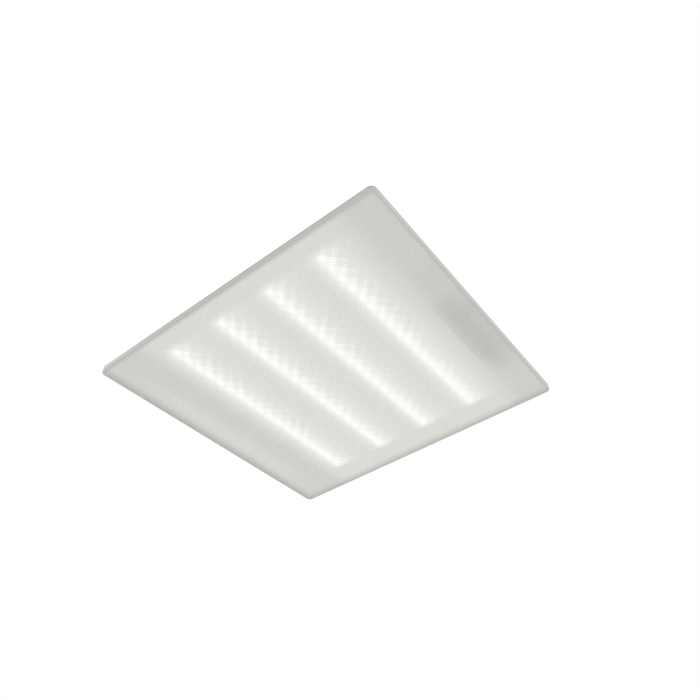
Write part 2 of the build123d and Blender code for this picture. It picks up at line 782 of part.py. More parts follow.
earth_lead_route = [
    (block_x + block_length / 2 - mains_lead_insertion, earth_pole_y, block_pole_z),
    (stud_x, earth_pole_y, block_pole_z),
    (stud_x, barrel_end_y - lug_barrel_length - lug_lead_straight, barrel_z),
    (stud_x, barrel_end_y - lug_barrel_length / 2, barrel_z),
]
save(lead(earth_lead_route, [earth_bend_radius, earth_bend_radius], mains_lead_radius), "earth_lead")

# ---- Grid clips: straps that swing out over the bars of the ceiling grid ----

# Drawn with the pivot at the origin and the strap along +X.
with BuildPart() as clip_template:
    strap_z = clip_thickness / 2
    with BuildSketch(Plane.XZ):
        with BuildLine():
            FilletPolyline(
                (-clip_width / 2, strap_z),
                (clip_reach - strap_z, strap_z),
                (clip_reach - strap_z, clip_tab),
                radius=bend_radius + strap_z,
            )
        trace(line_width=clip_thickness)
    extrude(amount=clip_width / 2, both=True)
    chamfer(clip_template.edges().filter_by(Axis.X).group_by(Axis.Z)[-1], clip_tab_corner)
    with BuildSketch() as clip_outline:
        with Locations((clip_reach / 2 - clip_width / 4, 0)):
            Rectangle(clip_reach + clip_width / 2, clip_width)
        chamfer(clip_outline.vertices().group_by(Axis.X)[0], clip_end_corner)
        Circle(pivot_radius + pivot_clearance, mode=Mode.SUBTRACT)
    extrude(amount=clip_tab, mode=Mode.INTERSECT)

# Stowed, each strap lies along its +X or -X wall and points at the middle of it.
clip_corners = [(1, 1), (-1, 1), (-1, -1), (1, -1)]
for number, (x_sign, y_sign) in enumerate(clip_corners, start=1):
    with BuildPart() as grid_clip:
        with Locations(Location((x_sign * clip_x, y_sign * clip_y, clip_z), (0, 0, -90 * y_sign))):
            add(clip_template.part)
    save(grid_clip, f"grid_clip_{number}")

with BuildPart() as grid_clip_pins:
    head_z = clip_z + clip_thickness + pivot_end_play
    with BuildSketch(Plane.XY.offset(depth)):
        with GridLocations(2 * clip_x, 2 * clip_y, 2, 2):
            Circle(pivot_radius)
    extrude(amount=head_z - depth)
    with BuildSketch(Plane.XY.offset(head_z)):
        with GridLocations(2 * clip_x, 2 * clip_y, 2, 2):
            Circle(pivot_head_radius)
    extrude(amount=pivot_head_height)
save(grid_clip_pins, "grid_clip_pins")

# ---- Cover springs: clips pushed over the hem, bowed out towards the cover's rim ----

with BuildPart() as cover_springs:
    inner_leg_x = hem_outer - sheet - spring_sheet / 2
    outer_leg_x = hem_outer + spring_sheet / 2
    bow_x = rim_inner - spring_rim_gap - spring_sheet / 2
    with BuildSketch(Plane.XZ) as spring_section:
        with BuildLine():
            Polyline(
                (inner_leg_x, hem_top - spring_drop),
                (inner_leg_x, hem_top + spring_sheet / 2),
                (outer_leg_x, hem_top + spring_sheet / 2),
                (bow_x, hem_top - spring_drop / 2),
                (outer_leg_x + spring_sheet / 2, hem_top - spring_drop),
            )
        trace(line_width=spring_sheet)
    spring_block = extrude(amount=spring_length / 2, both=True, mode=Mode.PRIVATE)
    with PolarLocations(0, 4):
        with GridLocations(0, spring_spacing, 1, 2):
            add(spring_block)
save(cover_springs, "cover_springs")
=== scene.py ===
"""Looks of a square recessed ceiling light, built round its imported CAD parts.

Frame: metres, origin at the centre of the visible face, +Z up into the ceiling, +X along the LED
strips, the driver bay beside the -Y wall. The light hangs above the floor and is seen from below.
"""
import json
import logging
import math
import random
from dataclasses import dataclass
from enum import Enum

import bmesh
import bpy
from mathutils import Euler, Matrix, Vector


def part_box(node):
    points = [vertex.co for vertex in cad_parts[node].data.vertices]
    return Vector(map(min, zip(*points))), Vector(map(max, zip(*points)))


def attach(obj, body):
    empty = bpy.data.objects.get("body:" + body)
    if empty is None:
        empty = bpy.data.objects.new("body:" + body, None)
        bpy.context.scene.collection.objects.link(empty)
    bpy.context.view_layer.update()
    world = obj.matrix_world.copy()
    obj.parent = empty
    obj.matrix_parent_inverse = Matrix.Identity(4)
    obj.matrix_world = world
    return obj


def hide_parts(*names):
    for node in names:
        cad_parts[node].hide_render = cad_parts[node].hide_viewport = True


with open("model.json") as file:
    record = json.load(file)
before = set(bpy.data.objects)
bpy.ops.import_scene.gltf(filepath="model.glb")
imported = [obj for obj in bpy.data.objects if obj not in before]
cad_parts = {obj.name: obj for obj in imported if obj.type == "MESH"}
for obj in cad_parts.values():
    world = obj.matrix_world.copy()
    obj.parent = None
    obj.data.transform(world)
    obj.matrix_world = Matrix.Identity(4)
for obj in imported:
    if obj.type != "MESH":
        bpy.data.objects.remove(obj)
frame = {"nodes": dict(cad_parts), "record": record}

MM = 0.001
TOUCH = 0.01 * MM  # closer than this, two places are the same
FACING = 0.99  # least part of a normal that counts as facing that way
STRIP_YS = (-151.5, -40.5, 70.5, 181.5)  # middle of each strip of LEDs, in millimetres

# Sockets of the node that mixes two colours.
MIX_FACTOR, MIX_FIRST, MIX_SECOND, MIX_RESULT = 0, 6, 7, 2

Colour = tuple[float, float, float, float]
Point = tuple[float, float, float]
Ramp = tuple[float, float]  # where a smooth rise starts and where it ends

logging.basicConfig(level=logging.INFO, format="%(message)s")
log = logging.getLogger("ceiling_light")


# ---- Small tools ----


def srgb(hex_colour: str) -> Colour:
    """Turn an sRGB hex colour into linear light.

    Args:
        hex_colour: Six hex digits after a hash sign.

    Returns:
        The linear red, green and blue, and an alpha of one.
    """
    channels = [int(hex_colour[i:i + 2], 16) / 255 for i in (1, 3, 5)]
    linear = [c / 12.92 if c <= 0.04045 else ((c + 0.055) / 1.055) ** 2.4 for c in channels]
    return (*linear, 1.0)


def fade(value: float, ramp: Ramp) -> float:
    """Rise smoothly from nought at the start of a ramp to one at its end.

    Args:
        value: Where the result is wanted.
        ramp: Where it is nought, above or below the end, and where it is one.

    Returns:
        A number from nought to one.
    """
    start, end = ramp
    share = min(max((value - start) / (end - start), 0.0), 1.0)
    return share * share * (3 - 2 * share)


def add_node(
    tree: bpy.types.NodeTree, kind: str, inputs: dict | None = None, **settings
) -> bpy.types.Node:
    """Add a node with its settings, values and links.

    Args:
        tree: The node tree that takes the node.
        kind: The node's type name.
        inputs: Values or output sockets, by the name or the number of the input.
        **settings: Attributes of the node.

    Returns:
        The new node.
    """
    new = tree.nodes.new(kind)
    for name, value in settings.items():
        setattr(new, name, value)
    for key, value in (inputs or {}).items():
        if isinstance(value, bpy.types.NodeSocket):
            tree.links.new(value, new.inputs[key])
        else:
            new.inputs[key].default_value = value
    return new


def start_material(name: str) -> tuple[bpy.types.Material, bpy.types.NodeTree, bpy.types.Node]:
    """Start a material that has a Principled shader alone.

    Args:
        name: The material's name.

    Returns:
        The material, its node tree and its Principled shader.
    """
    material = bpy.data.materials.new(name)
    material.use_nodes = True
    tree = material.node_tree
    return material, tree, tree.nodes["Principled BSDF"]


def deselect_all() -> None:
    """Leave nothing selected, in object mode."""
    if bpy.context.mode != "OBJECT":
        bpy.ops.object.mode_set(mode="OBJECT")
    bpy.ops.object.select_all(action="DESELECT")


def activate(piece: bpy.types.Object) -> None:
    """Make a piece the active one, and the only one that is selected."""
    deselect_all()
    piece.select_set(True)
    bpy.context.view_layer.objects.active = piece


def edit_where(piece: bpy.types.Object, mode: str, test) -> None:
    """Enter edit mode with only the chosen elements of a mesh selected.

    Args:
        piece: The mesh object.
        mode: VERT, EDGE or FACE.
        test: Takes a bmesh vertex, edge or face and says whether it is chosen.
    """
    activate(piece)
    bpy.ops.object.mode_set(mode="EDIT")
    bpy.ops.mesh.select_mode(type=mode)
    bpy.ops.mesh.select_all(action="DESELECT")
    shape = bmesh.from_edit_mesh(piece.data)
    elements = {"VERT": shape.verts, "EDGE": shape.edges, "FACE": shape.faces}[mode]
    for element in elements:
        if test(element):
            element.select_set(True)
    shape.select_flush_mode()
    bmesh.update_edit_mesh(piece.data)


def settle(piece: bpy.types.Object, name: str) -> bpy.types.Object:
    """Leave edit mode, put the piece's place into its mesh and name it.

    Args:
        piece: The mesh object.
        name: Its final name.

    Returns:
        The same object, at the origin, unturned and unscaled.
    """
    activate(piece)
    bpy.ops.object.transform_apply(location=True, rotation=True, scale=True)
    piece.name = name
    piece.data.name = name
    return piece


def join(pieces: list[bpy.types.Object], name: str) -> bpy.types.Object:
    """Join mesh objects into one piece.

    Args:
        pieces: The objects, the first of which stays.
        name: The joined piece's name.

    Returns:
        The joined object.
    """
    activate(pieces[0])
    for piece in pieces:
        piece.select_set(True)
    bpy.ops.object.join()
    return settle(pieces[0], name)


def copy_to(piece: bpy.types.Object, places: list[Point]) -> list[bpy.types.Object]:
    """Copy a piece, each copy with its own mesh.

    Args:
        piece: The object to copy, whose place is in its mesh.
        places: How far each copy is moved.

    Returns:
        The copies.
    """
    copies = []
    for place in places:
        activate(piece)
        bpy.ops.object.duplicate(linked=False)
        copy = bpy.context.active_object
        copy.location = place
        copies.append(settle(copy, f"{piece.name}_copy"))
    return copies


def remove(piece: bpy.types.Object) -> None:
    """Delete a template that has been copied."""
    bpy.data.objects.remove(piece, do_unlink=True)


def dress(piece: bpy.types.Object, material: bpy.types.Material) -> None:
    """Give a piece one material all over."""
    piece.data.materials.clear()
    piece.data.materials.append(material)


# ---- Finishes ----


class Insulation(Enum):
    """Colours of the leads' insulation, as sRGB hex."""

    RED = "#B3201C"
    BLACK = "#1B1B1C"
    BROWN = "#6A3D22"
    BLUE = "#2257A8"
    GREEN = "#2E8B3A"


@dataclass(frozen=True)
class RowGlow:
    """Painted glow of the light that each row of LEDs throws on the prismatic sheet, in millimetres
    on the face.

    The facets throw it towards -Y, in slanting streaks that cross, and cut it off sharply on the
    +Y side.
    """

    rows: tuple[float, ...] = (-163.3, -57.9, 48.7, 157.3)
    led_pitch: float = 27.2
    left_end: float = -266.0
    right_end: float = 240.0
    left_fade: float = 22.0
    right_fade: float = 20.0
    near_reach: float = 8.5  # the light falls by a factor of e over this way, on both sides
    far_reach: float = 18.0  # and over this way on the -Y side
    roundness: float = 6.0
    toward_strength: float = 1.7  # of the streaks, on the facets that face -Y
    away_strength: float = 0.3
    streak_power: float = 1.5  # the higher, the narrower each streak
    streak_mean: float = 0.43  # mean height of a streak of that power
    streak_spread: float = 0.5  # how much one streak differs from another
    left_contrast: float = 0.8
    contrast_loss: float = 0.5  # from the left end to the right end
    contrast_reach: float = 30.0
    core_ripple: float = 0.22

    def at(self, x: float, y: float, slope_x: float, slope_y: float) -> float:
        """The painted glow of the nearest row of LEDs.

        Args:
            x: Place of the facet along the rows.
            y: Place of the facet across the rows.
            slope_x: X part of the facet's normal.
            slope_y: Y part of the facet's normal.

        Returns:
            Brightness, about one in the middle of a row.
        """
        # Painted glow of the row, with painted streaks of light on its -Y side.
        centre = min(self.rows, key=lambda line: abs(y + self.far_reach - line))
        off = y - centre
        way = math.hypot(off, self.roundness) - self.roundness
        core = math.exp(-way / self.near_reach)
        skirt = math.exp(-way / self.far_reach) - core if off < 0 else 0.0
        slant = x - off if slope_x < 0 else x + off
        wave = math.cos(2 * math.pi / self.led_pitch * slant)
        seed = f"{centre} {slope_x > 0} {round(slant / self.led_pitch)}"
        chance = random.Random(seed).uniform(1 - self.streak_spread, 1 + self.streak_spread)
        streak = chance * ((1 + wave) / 2) ** self.streak_power / self.streak_mean
        loss = self.contrast_loss * fade(x, (self.left_end, self.right_end))
        contrast = (self.left_contrast - loss) * math.exp(-way / self.contrast_reach)
        skirt *= self.toward_strength if slope_y < 0 else self.away_strength
        skirt *= 1 + contrast * (streak - 1)
        core *= 1 + self.core_ripple * contrast * wave
        left = fade(x, (self.left_end, self.left_end + self.left_fade))
        right = fade(x, (self.right_end, self.right_end - self.right_fade))
        return (core + skirt) * left * right


@dataclass(frozen=True)
class SheetGlow:
    """The painted glow of the prismatic sheet between the rows, in millimetres on the face.

    It has painted shade past the outer rows and over the flange, painted shadows where the driver
    and the mains leads stand behind the sheet, and painted light where the far wall throws light
    back.
    """

    middle: float = 0.96
    # Painted shade past the outer rows, on the far side and on the driver's side.
    painted_far_bay_shade: float = 0.32
    far_bay: Ramp = (172.0, 212.0)
    painted_driver_bay_shade: float = 0.34
    driver_bay: Ramp = (-198.0, -262.0)

    # Painted light thrown back by the far wall, less towards the corners.
    painted_far_wall_light: float = 0.21
    far_wall_y: float = 258.0
    far_wall_width: float = 22.0
    far_wall_corner: Ramp = (120.0, 270.0)
    far_wall_corner_loss: float = 0.85

    # Painted shadow of the driver: sharp towards the rows, lighter again at the near wall.
    painted_driver_shadow: float = 0.36
    driver_left: Ramp = (-75.0, 0.0)
    driver_right: Ramp = (200.0, 110.0)
    driver_edge: Ramp = (-234.0, -236.0)
    driver_edge_share: float = 0.6  # of the painted shadow, at the driver's edge
    driver_depth: Ramp = (-236.0, -256.0)
    driver_back: Ramp = (-262.0, -290.0)
    driver_back_share: float = 0.4  # of the painted shadow that is gone again at the near wall

    # Painted shadow of the mains leads.
    painted_mains_shadow: float = 0.05
    mains_left: Ramp = (-140.0, -115.0)
    mains_right: Ramp = (-20.0, -45.0)
    mains_edge: Ramp = (-239.0, -243.0)

    # Painted shade over the flange, on all four sides.
    flange_left: Ramp = (-300.0, -286.0)
    flange_right: Ramp = (306.0, 268.0)
    flange_near: Ramp = (-306.0, -288.0)
    flange_far: Ramp = (299.0, 272.0)

    def at(self, x: float, y: float) -> float:
        """The painted glow of the sheet between the rows, with its painted shade, shadows and
        light.

        Args:
            x: Place of the facet along the rows.
            y: Place of the facet across the rows.

        Returns:
            Brightness, about one in the middle of the face.
        """
        level = self.middle
        # Painted shade past the outer rows.
        level -= self.painted_far_bay_shade * fade(y, self.far_bay)
        level -= self.painted_driver_bay_shade * fade(y, self.driver_bay)
        # Painted light from the far wall.
        far_wall = math.exp(-((y - self.far_wall_y) / self.far_wall_width) ** 2)
        far_wall *= 1 - self.far_wall_corner_loss * fade(abs(x), self.far_wall_corner)
        level += self.painted_far_wall_light * far_wall
        # Painted shadow of the driver.
        driver = fade(x, self.driver_left) * fade(x, self.driver_right) * fade(y, self.driver_edge)
        rest = 1 - self.driver_edge_share
        driver *= self.driver_edge_share + rest * fade(y, self.driver_depth)
        driver *= 1 - self.driver_back_share * fade(y, self.driver_back)
        level -= self.painted_driver_shadow * driver
        # Painted shadow of the mains leads.
        mains = fade(x, self.mains_left) * fade(x, self.mains_right) * fade(y, self.mains_edge)
        level -= self.painted_mains_shadow * mains
        # Painted shade over the flange.
        sides = fade(x, self.flange_left) * fade(x, self.flange_right)
        ends = fade(y, self.flange_near) * fade(y, self.flange_far)
        return max(level, 0.0) * sides * ends


@dataclass(frozen=True)
class Glow:
    """The colour and strength of the painted glow of each facet of the prismatic sheet."""

    row: RowGlow = RowGlow()
    sheet: SheetGlow = SheetGlow()
    row_light: float = 0.27
    sheet_light: float = 0.25
    row_tint: str = "#F6F9FF"
    sheet_tint: str = "#FBF9F3"
    # Painted shade and highlight by the way a facet faces, and painted glints that differ at
    # random.
    painted_facet_shade: float = 0.22
    glitter: float = 0.05

    def colour(self, x: float, y: float, slope_x: float, slope_y: float, chance: float) -> Colour:
        """The painted glow of one facet.

        Args:
            x: Place of the facet along the rows, in millimetres.
            y: Place of the facet across the rows, in millimetres.
            slope_x: X part of the facet's normal.
            slope_y: Y part of the facet's normal.
            chance: A number from -1 to 1 that makes each facet a little different.

        Returns:
            Linear red, green and blue, and an alpha of one.
        """
        # Painted shade and highlight: facets that face +X and +Y are darker, those that face -X and
        # -Y lighter.
        facing = math.copysign(0.5, slope_x) + math.copysign(0.5, slope_y)
        uneven = 1 - self.painted_facet_shade * facing + self.glitter * chance
        sheet = self.sheet_light * self.sheet.at(x, y) * uneven
        row = self.row_light * self.row.at(x, y, slope_x, slope_y) * (1 + self.glitter * chance)
        warm, white = srgb(self.sheet_tint), srgb(self.row_tint)
        return (*(sheet * warm[i] + row * white[i] for i in range(3)), 1.0)


@dataclass(frozen=True)
class MilkyAcrylic:
    """Milky moulded acrylic: a smooth off-white body whose gloss is a little uneven."""

    name: str = "milky_acrylic"
    body: str = "#C8C7C4"
    haze_mm: float = 16.7
    smoothest: float = 0.3
    dullest: float = 0.46
    ior: float = 1.49

    def start(
        self,
    ) -> tuple[bpy.types.Material, bpy.types.NodeTree, bpy.types.Node, bpy.types.NodeSocket]:
        """Start the material with its body and its gloss.

        Returns:
            The material, its node tree, its Principled shader and the place on the piece.
        """
        material, tree, shader = start_material(self.name)
        material.cycles.emission_sampling = "NONE"
        place = add_node(tree, "ShaderNodeTexCoord").outputs["Object"]
        haze = add_node(tree, "ShaderNodeTexNoise", {"Vector": place, "Scale": 1000 / self.haze_mm})
        spread = {"Value": haze.outputs["Fac"], "To Min": self.smoothest, "To Max": self.dullest}
        gloss = add_node(tree, "ShaderNodeMapRange", spread)
        tree.links.new(gloss.outputs["Result"], shader.inputs["Roughness"])
        shader.inputs["Base Color"].default_value = srgb(self.body)
        shader.inputs["IOR"].default_value = self.ior
        return material, tree, shader, place


@dataclass(frozen=True)
class PrismaticAcrylic(MilkyAcrylic):
    """Milky acrylic moulded with small pyramids, its light from behind painted as its glow.

    The eye sees an even off-white sheet with a fine painted glitter of facets, four bright
    feathered lines of painted glow and a painted shadow below the driver.
    """

    name: str = "milky_prismatic_acrylic"
    attribute: str = "facet_light"
    glow: Glow = Glow()
    glitter_seed: int = 5

    def light_facets(self, sheet: bpy.types.Object) -> None:
        """Write each facet's painted glow to the sheet of prisms.

        Args:
            sheet: The mesh of the prisms, at its place in metres.
        """
        chance = random.Random(self.glitter_seed)
        values = []
        for face in sheet.data.polygons:
            x, y, _ = face.center / MM
            slope_x, slope_y, _ = face.normal
            values.extend(self.glow.colour(x, y, slope_x, slope_y, chance.uniform(-1, 1)))
        layer = sheet.data.attributes.new(self.attribute, "FLOAT_COLOR", "FACE")
        layer.data.foreach_set("color", values)

    def build(self) -> bpy.types.Material:
        """Build the material, whose emission is each facet's painted glow.

        Returns:
            The material.
        """
        material, tree, shader, _ = self.start()
        # The painted glow of each facet drives the emission.
        light = add_node(tree, "ShaderNodeAttribute", attribute_name=self.attribute)
        tree.links.new(light.outputs["Color"], shader.inputs["Emission Color"])
        shader.inputs["Emission Strength"].default_value = 1.0
        return material


@dataclass(frozen=True)
class AcrylicRim(MilkyAcrylic):
    """The plain rim of milky acrylic: a painted glow creeps up its wall to a thin top edge with
    painted shade.
    """

    name: str = "milky_acrylic_rim"
    # Painted shade: the colour that the top of the rim wall darkens to, and where that starts.
    edge: str = "#9E9D9B"
    painted_edge_shade_start_mm: float = 7.0
    rise_mm: float = 10.0
    # Painted glow of the rim: its colour, and its strength at the foot and at the top of the wall.
    lit: str = "#FBF9F3"
    foot_light: float = 0.05
    wall_light: float = 0.01

    def build(self) -> bpy.types.Material:
        """Build the material, its painted glow rising from the face into the wall, and painted
        shade on the top of the wall.

        Returns:
            The material.
        """
        material, tree, shader, place = self.start()
        # Painted glow, fading from the foot of the rim up its wall.
        height = add_node(tree, "ShaderNodeSeparateXYZ", {0: place}).outputs[2]
        top = {"Value": height, "From Max": self.rise_mm * MM}
        lights = {**top, "To Min": self.foot_light, "To Max": self.wall_light}
        light = add_node(tree, "ShaderNodeMapRange", lights)
        # Painted shade on the top of the rim wall, in its base colour.
        thin = {**top, "From Min": self.painted_edge_shade_start_mm * MM}
        share = add_node(tree, "ShaderNodeMapRange", thin).outputs["Result"]
        tones = {MIX_FACTOR: share, MIX_FIRST: srgb(self.body), MIX_SECOND: srgb(self.edge)}
        tone = add_node(tree, "ShaderNodeMix", tones, data_type="RGBA")
        tree.links.new(tone.outputs[MIX_RESULT], shader.inputs["Base Color"])
        tree.links.new(light.outputs["Result"], shader.inputs["Emission Strength"])
        shader.inputs["Emission Color"].default_value = srgb(self.lit)
        return material


@dataclass(frozen=True)
class PowderCoat:
    """White polyester powder baked on sheet steel: a soft sheen over a fine orange peel."""

    name: str = "white_powder_coated_steel"
    colour: str = "#E0DFDB"
    shadow: str = "#D6D5D1"
    tone_mm: float = 71.4
    peel_mm: float = 1.4
    peel_depth_mm: float = 0.4
    peel_strength: float = 0.12
    roughness: float = 0.42

    def build(self) -> bpy.types.Material:
        """Build the material, with its peel as bump and a faint unevenness of tone.

        Returns:
            The material.
        """
        material, tree, shader = start_material(self.name)
        place = add_node(tree, "ShaderNodeTexCoord").outputs["Object"]
        wide = {"Vector": place, "Scale": 1000 / self.tone_mm, "Detail": 2.0}
        share = add_node(tree, "ShaderNodeTexNoise", wide).outputs["Fac"]
        tones = {MIX_FACTOR: share, MIX_FIRST: srgb(self.colour), MIX_SECOND: srgb(self.shadow)}
        tone = add_node(tree, "ShaderNodeMix", tones, data_type="RGBA")
        fine = {"Vector": place, "Scale": 1000 / self.peel_mm, "Detail": 1.0}
        peel = add_node(tree, "ShaderNodeTexNoise", fine).outputs["Fac"]
        depth = self.peel_depth_mm * MM
        height = {"Height": peel, "Strength": self.peel_strength, "Distance": depth}
        bump = add_node(tree, "ShaderNodeBump", height)
        tree.links.new(tone.outputs[MIX_RESULT], shader.inputs["Base Color"])
        tree.links.new(bump.outputs[0], shader.inputs["Normal"])
        shader.inputs["Roughness"].default_value = self.roughness
        return material


@dataclass(frozen=True)
class MouldedPlastic:
    """A moulded plastic: even colour, a fine spark-eroded grain and a dull sheen."""

    name: str
    colour: str
    roughness: float = 0.45
    grain_mm: float = 0.5
    grain: float = 0.10  # strength of the bump
    ior: float = 1.53
    grain_depth_mm: float = 0.2

    def build(self) -> bpy.types.Material:
        """Build the material, with its grain as bump.

        Returns:
            The material.
        """
        material, tree, shader = start_material(self.name)
        place = add_node(tree, "ShaderNodeTexCoord").outputs["Object"]
        fine = {"Vector": place, "Scale": 1000 / self.grain_mm}
        grain = add_node(tree, "ShaderNodeTexNoise", fine).outputs["Fac"]
        depth = self.grain_depth_mm * MM
        height = {"Height": grain, "Strength": self.grain, "Distance": depth}
        bump = add_node(tree, "ShaderNodeBump", height)
        tree.links.new(bump.outputs[0], shader.inputs["Normal"])
        shader.inputs["Base Color"].default_value = srgb(self.colour)
        shader.inputs["Roughness"].default_value = self.roughness
        shader.inputs["IOR"].default_value = self.ior
        return material


@dataclass(frozen=True)
class PlatedMetal:
    """A thin bright plating on steel or copper: a satin metal with faint cloudy patches."""

    name: str
    colour: str
    roughness: float = 0.34
    patch_mm: float = 6.0
    smoother: float = 0.05
    duller: float = 0.09

    def build(self) -> bpy.types.Material:
        """Build the material, its roughness varied from patch to patch.

        Returns:
            The material.
        """
        material, tree, shader = start_material(self.name)
        place = add_node(tree, "ShaderNodeTexCoord").outputs["Object"]
        wide = {"Vector": place, "Scale": 1000 / self.patch_mm}
        patches = add_node(tree, "ShaderNodeTexVoronoi", wide).outputs["Distance"]
        ends = {"To Min": self.roughness - self.smoother, "To Max": self.roughness + self.duller}
        dull = add_node(tree, "ShaderNodeMapRange", {"Value": patches, **ends})
        tree.links.new(dull.outputs["Result"], shader.inputs["Roughness"])
        shader.inputs["Base Color"].default_value = srgb(self.colour)
        shader.inputs["Metallic"].default_value = 1.0
        return material


@dataclass(frozen=True)
class LedPackage:
    """White moulded package with a yellow phosphor window, lit on the side that faces down."""

    name: str = "led_package_with_phosphor"
    body: str = "#F2F1EC"
    phosphor: str = "#FFE9A8"
    light: str = "#FFF6E4"
    strength: float = 14.0
    roughness: float = 0.4
    window_length_mm: float = 2.6
    window_width_mm: float = 2.0
    pitch_mm: float = 28.0
    row_pitch_mm: float = 111.0
    one_led_mm: tuple[float, float] = (31.0, STRIP_YS[0])

    def build(self) -> bpy.types.Material:
        """Build the material, with a window in the middle of every package.

        Returns:
            The material.
        """
        material, tree, shader = start_material(self.name)
        place = add_node(tree, "ShaderNodeTexCoord").outputs["Object"]
        axes = add_node(tree, "ShaderNodeSeparateXYZ", {0: place})
        normal = add_node(tree, "ShaderNodeNewGeometry").outputs["True Normal"]
        facing = {0: add_node(tree, "ShaderNodeSeparateXYZ", {0: normal}).outputs[2], 1: -FACING}
        window = add_node(tree, "ShaderNodeMath", facing, operation="LESS_THAN").outputs[0]
        # Along each axis, the way to the nearest package's middle is less than half a window.
        pitches = (self.pitch_mm, self.row_pitch_mm)
        sizes = (self.window_width_mm, self.window_length_mm)
        for axis, (pitch, size) in enumerate(zip(pitches, sizes)):
            shift = {0: axes.outputs[axis], 1: self.one_led_mm[axis] * MM}
            shifted = add_node(tree, "ShaderNodeMath", shift, operation="SUBTRACT").outputs[0]
            wrap = {0: shifted, 1: pitch * MM / 2, 2: -pitch * MM / 2}
            wrapped = add_node(tree, "ShaderNodeMath", wrap, operation="WRAP").outputs[0]
            way = add_node(tree, "ShaderNodeMath", {0: wrapped}, operation="ABSOLUTE").outputs[0]
            half = {0: way, 1: size * MM / 2}
            within = add_node(tree, "ShaderNodeMath", half, operation="LESS_THAN").outputs[0]
            both = {0: window, 1: within}
            window = add_node(tree, "ShaderNodeMath", both, operation="MULTIPLY").outputs[0]
        tones = {MIX_FACTOR: window, MIX_FIRST: srgb(self.body), MIX_SECOND: srgb(self.phosphor)}
        tone = add_node(tree, "ShaderNodeMix", tones, data_type="RGBA")
        lit = {0: window, 1: self.strength}
        light = add_node(tree, "ShaderNodeMath", lit, operation="MULTIPLY")
        tree.links.new(tone.outputs[MIX_RESULT], shader.inputs["Base Color"])
        tree.links.new(light.outputs[0], shader.inputs["Emission Strength"])
        shader.inputs["Emission Color"].default_value = srgb(self.light)
        shader.inputs["Roughness"].default_value = self.roughness
        return material


@dataclass(frozen=True)
class CircuitBoard:
    """Solder mask over copper: a glossy lacquer with blocks of copper standing out faintly."""

    name: str
    mask: str
    gap: str
    block_length_mm: float = 28.0
    block_width_mm: float = 6.6
    gap_mm: float = 0.5
    copper_mm: float = 0.05
    copper_strength: float = 0.3
    roughness: float = 0.3

    def build(self) -> bpy.types.Material:
        """Build the material, its copper in oblong blocks with thin gaps between them.

        Returns:
            The material.
        """
        material, tree, shader = start_material(self.name)
        place = add_node(tree, "ShaderNodeTexCoord").outputs["Object"]
        sizes = {"Scale": 1000.0, "Mortar Size": self.gap_mm / 2, "Mortar Smooth": 0.3, "Bias": 0.0}
        blocks = {"Brick Width": self.block_length_mm, "Row Height": self.block_width_mm}
        tones = {"Color1": srgb(self.mask), "Color2": srgb(self.mask), "Mortar": srgb(self.gap)}
        copper = add_node(tree, "ShaderNodeTexBrick", {"Vector": place, **sizes, **blocks, **tones})
        depth = {"Strength": self.copper_strength, "Distance": self.copper_mm * MM}
        height = {"Height": copper.outputs["Fac"], **depth}
        bump = add_node(tree, "ShaderNodeBump", height, invert=True)
        tree.links.new(copper.outputs["Color"], shader.inputs["Base Color"])
        tree.links.new(bump.outputs[0], shader.inputs["Normal"])
        shader.inputs["Roughness"].default_value = self.roughness
        return material


@dataclass(frozen=True)
class EarthInsulation:
    """Insulation of the protective earth: green with yellow stripes, glossy."""

    name: str = "green_and_yellow_insulation"
    green: str = Insulation.GREEN.value
    yellow: str = "#E8C81E"
    stripe_mm: float = 5.0
    yellow_from: float = 0.6  # height of the wave above which it is yellow
    roughness: float = 0.3

    def build(self) -> bpy.types.Material:
        """Build the material, its stripes slanting round the lead.

        Returns:
            The material.
        """
        material, tree, shader = start_material(self.name)
        place = add_node(tree, "ShaderNodeTexCoord").outputs["Object"]
        waves = {"Vector": place, "Scale": 1000 / (self.stripe_mm * 2 * math.pi)}
        bands = {"wave_type": "BANDS", "bands_direction": "DIAGONAL"}
        wave = add_node(tree, "ShaderNodeTexWave", waves, **bands).outputs["Fac"]
        high = {0: wave, 1: self.yellow_from}
        stripe = add_node(tree, "ShaderNodeMath", high, operation="GREATER_THAN").outputs[0]
        tones = {MIX_FACTOR: stripe, MIX_FIRST: srgb(self.green), MIX_SECOND: srgb(self.yellow)}
        tone = add_node(tree, "ShaderNodeMix", tones, data_type="RGBA")
        tree.links.new(tone.outputs[MIX_RESULT], shader.inputs["Base Color"])
        shader.inputs["Roughness"].default_value = self.roughness
        return material


# ---- Sub-assemblies ----


